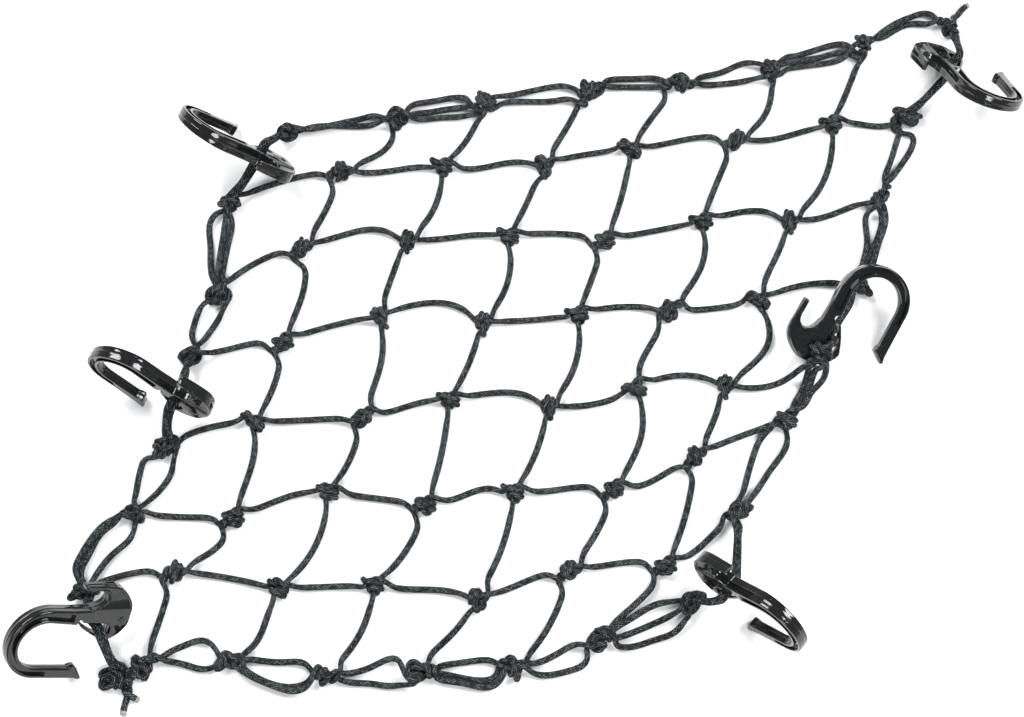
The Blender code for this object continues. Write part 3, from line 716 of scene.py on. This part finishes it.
def tie(batch):
    """Ties a batch of knots with as many strands each, and gives back their runs of cord."""
    middles = np.array([middle for middle, _, _ in batch])
    legs_in = np.array([[legs[first] for first, _ in pairs] for _, pairs, _ in batch]) - middles[:, None]
    legs_out = np.array([[legs[last] for _, last in pairs] for _, pairs, _ in batch]) - middles[:, None]
    way = legs_out.mean(1) - legs_in.mean(1)
    heading = np.arctan2(way[:, 1], way[:, 0])
    turns = np.array([MIRROR_AND_ROLL[letter.upper()] for _, _, letter in batch], float)
    mirror, roll = turns[:, 0], np.radians(turns[:, 1])
    order = mirror * np.sin(roll) * [1 - 2 * letter.islower() for _, _, letter in batch]
    tied = pulled_tight(overhand(legs_in, legs_out, heading, roll, mirror, order))
    # The bundle in the middle slides to where the legs meet, then becomes wider and a bit shorter
    place = np.linspace(0, 1, tied.shape[2])
    slack = np.clip(np.minimum(place, 1 - place) / LEG_PART, 0, 1)[:, None]
    tied[..., :2] -= slack * tied[:, :, LEG_POINTS:-LEG_POINTS, :2].mean((1, 2))[:, None, None]
    across = np.stack([-np.sin(heading), np.cos(heading)], -1)[:, None, None]
    aside = (tied[..., :2] * across).sum(-1, keepdims=True)
    tied[..., :2] += slack * (WIDENED * aside * across - DRAWN_IN * tied[..., :2])
    tied += middles[:, None, None]
    return [(first, last, path, 1) for (_, pairs, _), strands in zip(batch, tied)
            for (first, last), path in zip(pairs, strands)]


batches = []
for strands in (4, 3, 2):
    alike = [knot for knot in knots if len(knot[1]) == strands]
    batches += [alike[k:k + KNOTS_AT_ONCE] for k in range(0, len(alike), KNOTS_AT_ONCE)]
with ThreadPoolExecutor(4) as workers:
    for tied in workers.map(tie, batches):
        runs += tied

# ------------------------------------------------------------------------------------------------
# Net: six cords from side to side and six from far to near, knotted to those that they cross. Where
# a third strand shows on the edge, two of them are one cord, so that four long ones make the net.
# ------------------------------------------------------------------------------------------------

FINE_STEP = 0.8         # between the points of a line while it is softened
FLAG_PASSES, FREE_PASSES, KNOT_PASSES = 24, 12, 2
CORE_FROM, CORE_BLEND = 0.55, 0.35      # where a softened flag begins to count as inside a knot
STATION_STEP, STEP_CUT = 2.2, 1.25      # between a cord's stations, and how much less in a knot
THIN_SLOPE, THIN_FROM = 1.6, 0.3        # how a cord gets thinner as its flag rises
SKEW = [0.31, 0.22, 0.93]               # a direction that no cord takes
TAIL_SWELL = -2.5, 2    # a tail gets thick from where this ramp passes 0 to where it passes 1
BARE_STATIONS = 2       # at a tail's cut end, where the sleeve has slipped back


def joined(runs):
    """Runs that share a leg, put end to end: for each cord its path, which of its points lie inside
    a knot, whether it is endless, and the legs that it passes."""
    at = {}
    for index, run in enumerate(runs):
        for leg in run[:2]:
            at.setdefault(leg, []).append(index)
    free, cords = set(range(len(runs))), []
    ends = [leg for leg, users in at.items() if len(users) == 1]
    while free:
        open_ends = [leg for leg in ends if at[leg][0] in free]
        leg = open_ends[0] if open_ends else runs[min(free)][0]
        parts, flags, passed, begun = [], [], [leg], leg
        while True:
            choice = [index for index in at[leg] if index in free]
            if not choice:
                break
            free.remove(choice[0])
            first, last, path, inside = runs[choice[0]]
            if last == leg:
                path, last = path[::-1], first
            parts.append(path[:-1])
            flags.append(np.full(len(path) - 1, float(inside)))
            leg = last
            passed.append(leg)
        endless = leg == begun
        if not endless:
            parts.append(path[-1:])
            flags.append(flags[-1][-1:])
        cords.append((np.vstack(parts), np.concatenate(flags), endless, passed))
    return cords


def respaced(path, flags, endless, spacing):
    """The path and its flags again, with points so far apart as the spacing says at each point."""
    if endless:
        path, flags = np.vstack([path, path[:1]]), np.append(flags, flags[0])
        spacing = np.append(spacing, spacing[0])
    step = np.linalg.norm(np.diff(path, axis=0), axis=1) * 2 / (spacing[1:] + spacing[:-1])
    along = np.concatenate([[0], np.cumsum(step)])
    wanted = np.linspace(0, along[-1], int(along[-1]) + 1)
    if endless:
        wanted = wanted[:-1]
    out = [np.interp(wanted, along, column) for column in (*path.T, flags)]
    return np.column_stack(out[:3]), out[3]


def fair(path, flags, endless):
    """A cord's smooth line and its radius along it: well rounded where it runs free, close to the
    tied line inside a knot, and thinner there."""
    path, flags = respaced(path, flags, endless, np.full(len(path), FINE_STEP))
    depth = softened(flags[:, None], FLAG_PASSES, endless)
    core = np.clip((depth - CORE_FROM) / CORE_BLEND, 0, 1)
    free, tied = softened(path, FREE_PASSES, endless), softened(path, KNOT_PASSES, endless)
    path = free * (1 - core) + tied * core
    spacing = STATION_STEP - STEP_CUT * core[:, 0]
    path, depth = respaced(path, depth[:, 0], endless, spacing)
    path = softened(path, 1, endless)
    radius = CORD / 2 - (CORD - IN_KNOT) / 2 * np.clip(THIN_SLOPE * depth - THIN_FROM, 0, 1)
    path[:, 2] = np.maximum(path[:, 2], radius)
    return path, radius


def tube(path, radius, endless, sides=12):
    """A round cord: circles of the given radius square to the path. Their start is carried along
    the path without twist: the turn between two circles is measured, summed up and taken off."""
    if endless:
        ahead = np.roll(path, -1, axis=0) - np.roll(path, 1, axis=0)
    else:
        ahead = np.gradient(path, axis=0)
    ahead /= np.linalg.norm(ahead, axis=1, keepdims=True)
    start = np.cross(ahead, SKEW)
    start /= np.linalg.norm(start, axis=1, keepdims=True)
    side = np.cross(ahead, start)
    here, there = ahead, np.roll(ahead, -1, axis=0)
    axis = np.cross(here, there)
    carried = start + np.cross(axis, start)
    carried += np.cross(axis, np.cross(axis, start)) / (1 + (here * there).sum(1))[:, None]
    turn = np.arctan2((carried * np.roll(side, -1, axis=0)).sum(1),
                      (carried * np.roll(start, -1, axis=0)).sum(1))
    twist = np.concatenate([[0], np.cumsum(turn[:-1])])
    if endless:
        whole = np.angle(np.exp(1j * (twist[-1] + turn[-1])))
        twist = twist - whole * np.arange(len(path)) / len(path)
    angle = twist[:, None] + np.linspace(0, 2 * np.pi, sides, endpoint=False)
    ray = np.cos(angle)[..., None] * start[:, None] + np.sin(angle)[..., None] * side[:, None]
    return path[:, None] + radius[:, None, None] * ray


def cord_piece(name, cords, braid, core):
    """One mesh of all the given cords, with the place round and along each cord as its map, in
    turns and millimetres. A cut end shows the rubber core, which sticks out of a tail's sleeve."""
    corners, faces, values, finish = [], [], [], []
    count = 0
    for path, flags, endless, passed in cords:
        path, radius = fair(path, flags, endless)
        if passed[-1][1] == "tail":
            radius += (CORD / 2 - radius) * np.clip(np.linspace(*TAIL_SWELL, len(radius)), 0, 1)
        rings = tube(path, radius, endless)
        stations, sides = rings.shape[:2]
        number = np.arange(stations * sides).reshape(stations, sides) + count
        ahead = np.roll(number, -1, axis=1)
        step = np.linalg.norm(np.diff(path, axis=0, append=path[:1]), axis=1)
        along = np.concatenate([[0], np.cumsum(step)])
        if endless:
            number, ahead = np.vstack([number, number[:1]]), np.vstack([ahead, ahead[:1]])
        rows = len(number) - 1
        quads = np.stack([number[:-1], ahead[:-1], ahead[1:], number[1:]], -1).reshape(-1, 4)
        turn = np.tile(np.arange(sides) / sides, rows)
        low, high = np.repeat(along[:rows], sides), np.repeat(along[1:rows + 1], sides)
        map_ = np.stack([turn, low, turn + 1 / sides, low, turn + 1 / sides, high, turn, high], -1)
        corners.append(rings.reshape(-1, 3))
        faces += quads.tolist()
        values.append(map_.reshape(-1, 2))
        finish.append(np.zeros(len(quads), int))
        if passed[-1][1] == "tail":
            finish[-1][-BARE_STATIONS * sides:] = 1
        count += stations * sides
        if not endless:
            corners.append(np.array([path[0], path[-1]]))
            fans = np.vstack([np.stack([np.full(sides, count), ahead[0], number[0]], -1),
                              np.stack([np.full(sides, count + 1), number[-1], ahead[-1]], -1)])
            faces += fans.tolist()
            values.append(np.tile([[0.5, 0.0]], (len(fans) * 3, 1)))
            finish.append(np.ones(len(fans), int))
            count += 2
    placed = (np.vstack(corners) - MIDDLE) * MM
    piece = grid_mesh(name, placed, faces, np.vstack(values))
    piece.data.materials.append(braid)
    piece.data.materials.append(core)
    piece.data.polygons.foreach_set("material_index", np.concatenate(finish).astype(np.int32))
    return piece


def braid_group():
    """Node group: two sets of yarns wind round the cord both ways and pass over and under each
    other. Each is a row of humps, and a checker of the two says which one lies on top. The colour
    has painted light and shade: the humps darken it between the yarns and lighten their crowns, a
    random fleck for each crossing is a painted glint, and the lightest crowns get wear and a painted
    highlight."""
    group = bpy.data.node_groups.new("braided_sleeve", "ShaderNodeTree")
    for socket, default in (("Yarns", 7), ("Pitch", 2.3), ("Wear and highlight", 0.4)):
        made = group.interface.new_socket(socket, in_out="INPUT", socket_type="NodeSocketFloat")
        made.default_value = default
    group.interface.new_socket("Colour", in_out="OUTPUT", socket_type="NodeSocketColor")
    group.interface.new_socket("Relief", in_out="OUTPUT", socket_type="NodeSocketFloat")
    group.interface.new_socket("Roughness", in_out="OUTPUT", socket_type="NodeSocketFloat")
    given = add(group, "NodeGroupInput")
    result = add(group, "NodeGroupOutput")
    place = add(group, "ShaderNodeUVMap", uv_map="along_the_cord")
    split = add(group, "ShaderNodeSeparateXYZ", {0: place.outputs[0]})

    def math(operation, *values):
        return add(group, "ShaderNodeMath", dict(enumerate(values)), operation=operation).outputs[0]

    round_ = math("MULTIPLY", split.outputs["X"], given.outputs["Yarns"])
    along = math("DIVIDE", split.outputs["Y"], given.outputs["Pitch"])
    right, left = math("ADD", round_, along), math("SUBTRACT", round_, along)
    humps = [math("ABSOLUTE", math("SINE", math("MULTIPLY", way, np.pi))) for way in (right, left)]
    cells = math("ADD", math("FLOOR", right), math("FLOOR", left))
    over = math("FLOORED_MODULO", cells, 2.0)
    relief = add(group, "ShaderNodeMix", {0: over, 2: humps[0], 3: humps[1]})
    where = add(group, "ShaderNodeTexCoord")
    threads = add(group, "ShaderNodeTexNoise", {"Vector": where.outputs["Object"], "Scale": 1500.0,
                                                "Detail": 3.0})
    patches = add(group, "ShaderNodeTexNoise", {"Vector": where.outputs["Object"], "Scale": 45.0,
                                                "Detail": 2.0})
    cell = add(group, "ShaderNodeCombineXYZ", {0: math("FLOOR", right), 1: math("FLOOR", left)})
    # Painted glints: a random brightness for each crossing of the yarns, which lifts the colour there
    glint_noise = add(group, "ShaderNodeTexWhiteNoise", {"Vector": cell.outputs[0]}, noise_dimensions="2D")
    painted_glint = math("MULTIPLY_ADD", math("POWER", glint_noise.outputs["Value"], 2.0), 0.62, 0.38)
    # Painted shade: the squared humps darken the colour between the yarns and lighten their crowns, times
    # the painted glints
    shade = math("MULTIPLY", math("POWER", relief.outputs[0], 2.0), painted_glint)
    lit = math("MULTIPLY_ADD", threads.outputs["Fac"], 0.35, shade)
    tone = math("MULTIPLY_ADD", patches.outputs["Fac"], 0.2, lit)
    # The ramp turns this tone, with its painted shade and glints, into colour from near black to dark
    # grey-blue
    ramp = add(group, "ShaderNodeValToRGB", {0: tone})
    ramp.color_ramp.elements[0].position = 0.48
    ramp.color_ramp.elements[0].color = (0.001, 0.0013, 0.0015, 1)
    ramp.color_ramp.elements[1].position = 1.0
    ramp.color_ramp.elements[1].color = (0.130, 0.150, 0.158, 1)
    # Wear and painted highlight: the brightest crowns of the yarns are mixed towards a paler grey-blue
    crown = math("MULTIPLY", math("POWER", shade, 3.0), given.outputs["Wear and highlight"])
    worn = add(group, "ShaderNodeMix", {0: crown, 6: ramp.outputs[0], 7: (0.050, 0.060, 0.065, 1)},
               data_type="RGBA")
    gloss = math("MULTIPLY_ADD", threads.outputs["Fac"], 0.3, 0.40)
    group.links.new(worn.outputs[2], result.inputs["Colour"])
    group.links.new(relief.outputs[0], result.inputs["Relief"])
    group.links.new(gloss, result.inputs["Roughness"])
    return group


sleeve = braid_group()


def braid_material(name, wear_and_highlight, dust):
    """Black braided elastic cord: the sleeve's yarns with painted shade between them and painted glints,
    wear and a painted highlight on their crowns, a soft sheen, and dust on top.
    """
    made, tree, shader = shader_material(name, (0.03, 0.036, 0.04, 1), 0.6)
    shader.inputs["Sheen Weight"].default_value = 0.005
    shader.inputs["Sheen Roughness"].default_value = 0.4
    shader.inputs["Sheen Tint"].default_value = (0.6, 0.7, 0.8, 1)
    shader.inputs["Specular IOR Level"].default_value = 0.03
    yarns = add(tree, "ShaderNodeGroup", node_tree=sleeve)
    # How much the yarns' crowns are lightened, as wear and painted highlight
    yarns.inputs["Wear and highlight"].default_value = wear_and_highlight
    worn = add(tree, "ShaderNodeGroup", node_tree=marks)
    worn.inputs["Grain"].default_value = 1100
    worn.inputs["Dust"].default_value = dust
    colour = add(tree, "ShaderNodeMix", {0: worn.outputs["Dust mask"], 6: yarns.outputs["Colour"],
                                         7: (0.12, 0.13, 0.14, 1)}, data_type="RGBA")
    bump = add(tree, "ShaderNodeBump", {"Strength": 0.9, "Distance": 0.00035,
                                        "Height": yarns.outputs["Relief"]})
    tree.links.new(colour.outputs[2], shader.inputs["Base Color"])
    tree.links.new(yarns.outputs["Roughness"], shader.inputs["Roughness"])
    tree.links.new(bump.outputs[0], shader.inputs["Normal"])
    return made


def rubber_core():
    """The pale rubber strands that show where a cord is cut: small round cells, greyed unevenly."""
    made, tree, shader = shader_material("rubber_core", (0.35, 0.34, 0.32, 1), 0.7)
    where = add(tree, "ShaderNodeTexCoord")
    strands = add(tree, "ShaderNodeTexVoronoi", {"Vector": where.outputs["Object"], "Scale": 1300.0})
    colour = add(tree, "ShaderNodeMix", {0: strands.outputs["Distance"], 6: (0.42, 0.41, 0.39, 1),
                                         7: (0.14, 0.135, 0.13, 1)}, data_type="RGBA")
    bump = add(tree, "ShaderNodeBump", {"Strength": 0.5, "Distance": 0.0002,
                                        "Height": strands.outputs["Distance"]})
    tree.links.new(colour.outputs[2], shader.inputs["Base Color"])
    tree.links.new(bump.outputs[0], shader.inputs["Normal"])
    return made


def is_inner(cord):
    """Whether a cord passes a knot inside the net, where the legs are named left and up."""
    return any(leg[2] in ("left", "up") for leg in cord[3])


cut_core = rubber_core()
cords = joined(runs)
inner_cords = [cord for cord in cords if is_inner(cord)]
edge_cords = [cord for cord in cords if not is_inner(cord)]
net = cord_piece("net", inner_cords, braid_material("net_braid", 0.30, 0.05), cut_core)
rows = [f"row_cord_{k}" for k in range(1, 7)]
columns = [f"column_cord_{k}_{part}" for k in range(1, 7) for part in ("far", "near")]
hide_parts(*rows, *columns)
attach(net, "root")

# ------------------------------------------------------------------------------------------------
# Edge rope: two endless strands of the same cord, tied together with the inner cords at each edge
# knot and threaded through the hooks, and the cut ends that stick out of two corner knots.
# ------------------------------------------------------------------------------------------------

rope = cord_piece("rope", edge_cords, braid_material("rope_braid", 0.36, 0.07), cut_core)
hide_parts("edge_rope")
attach(rope, "root")
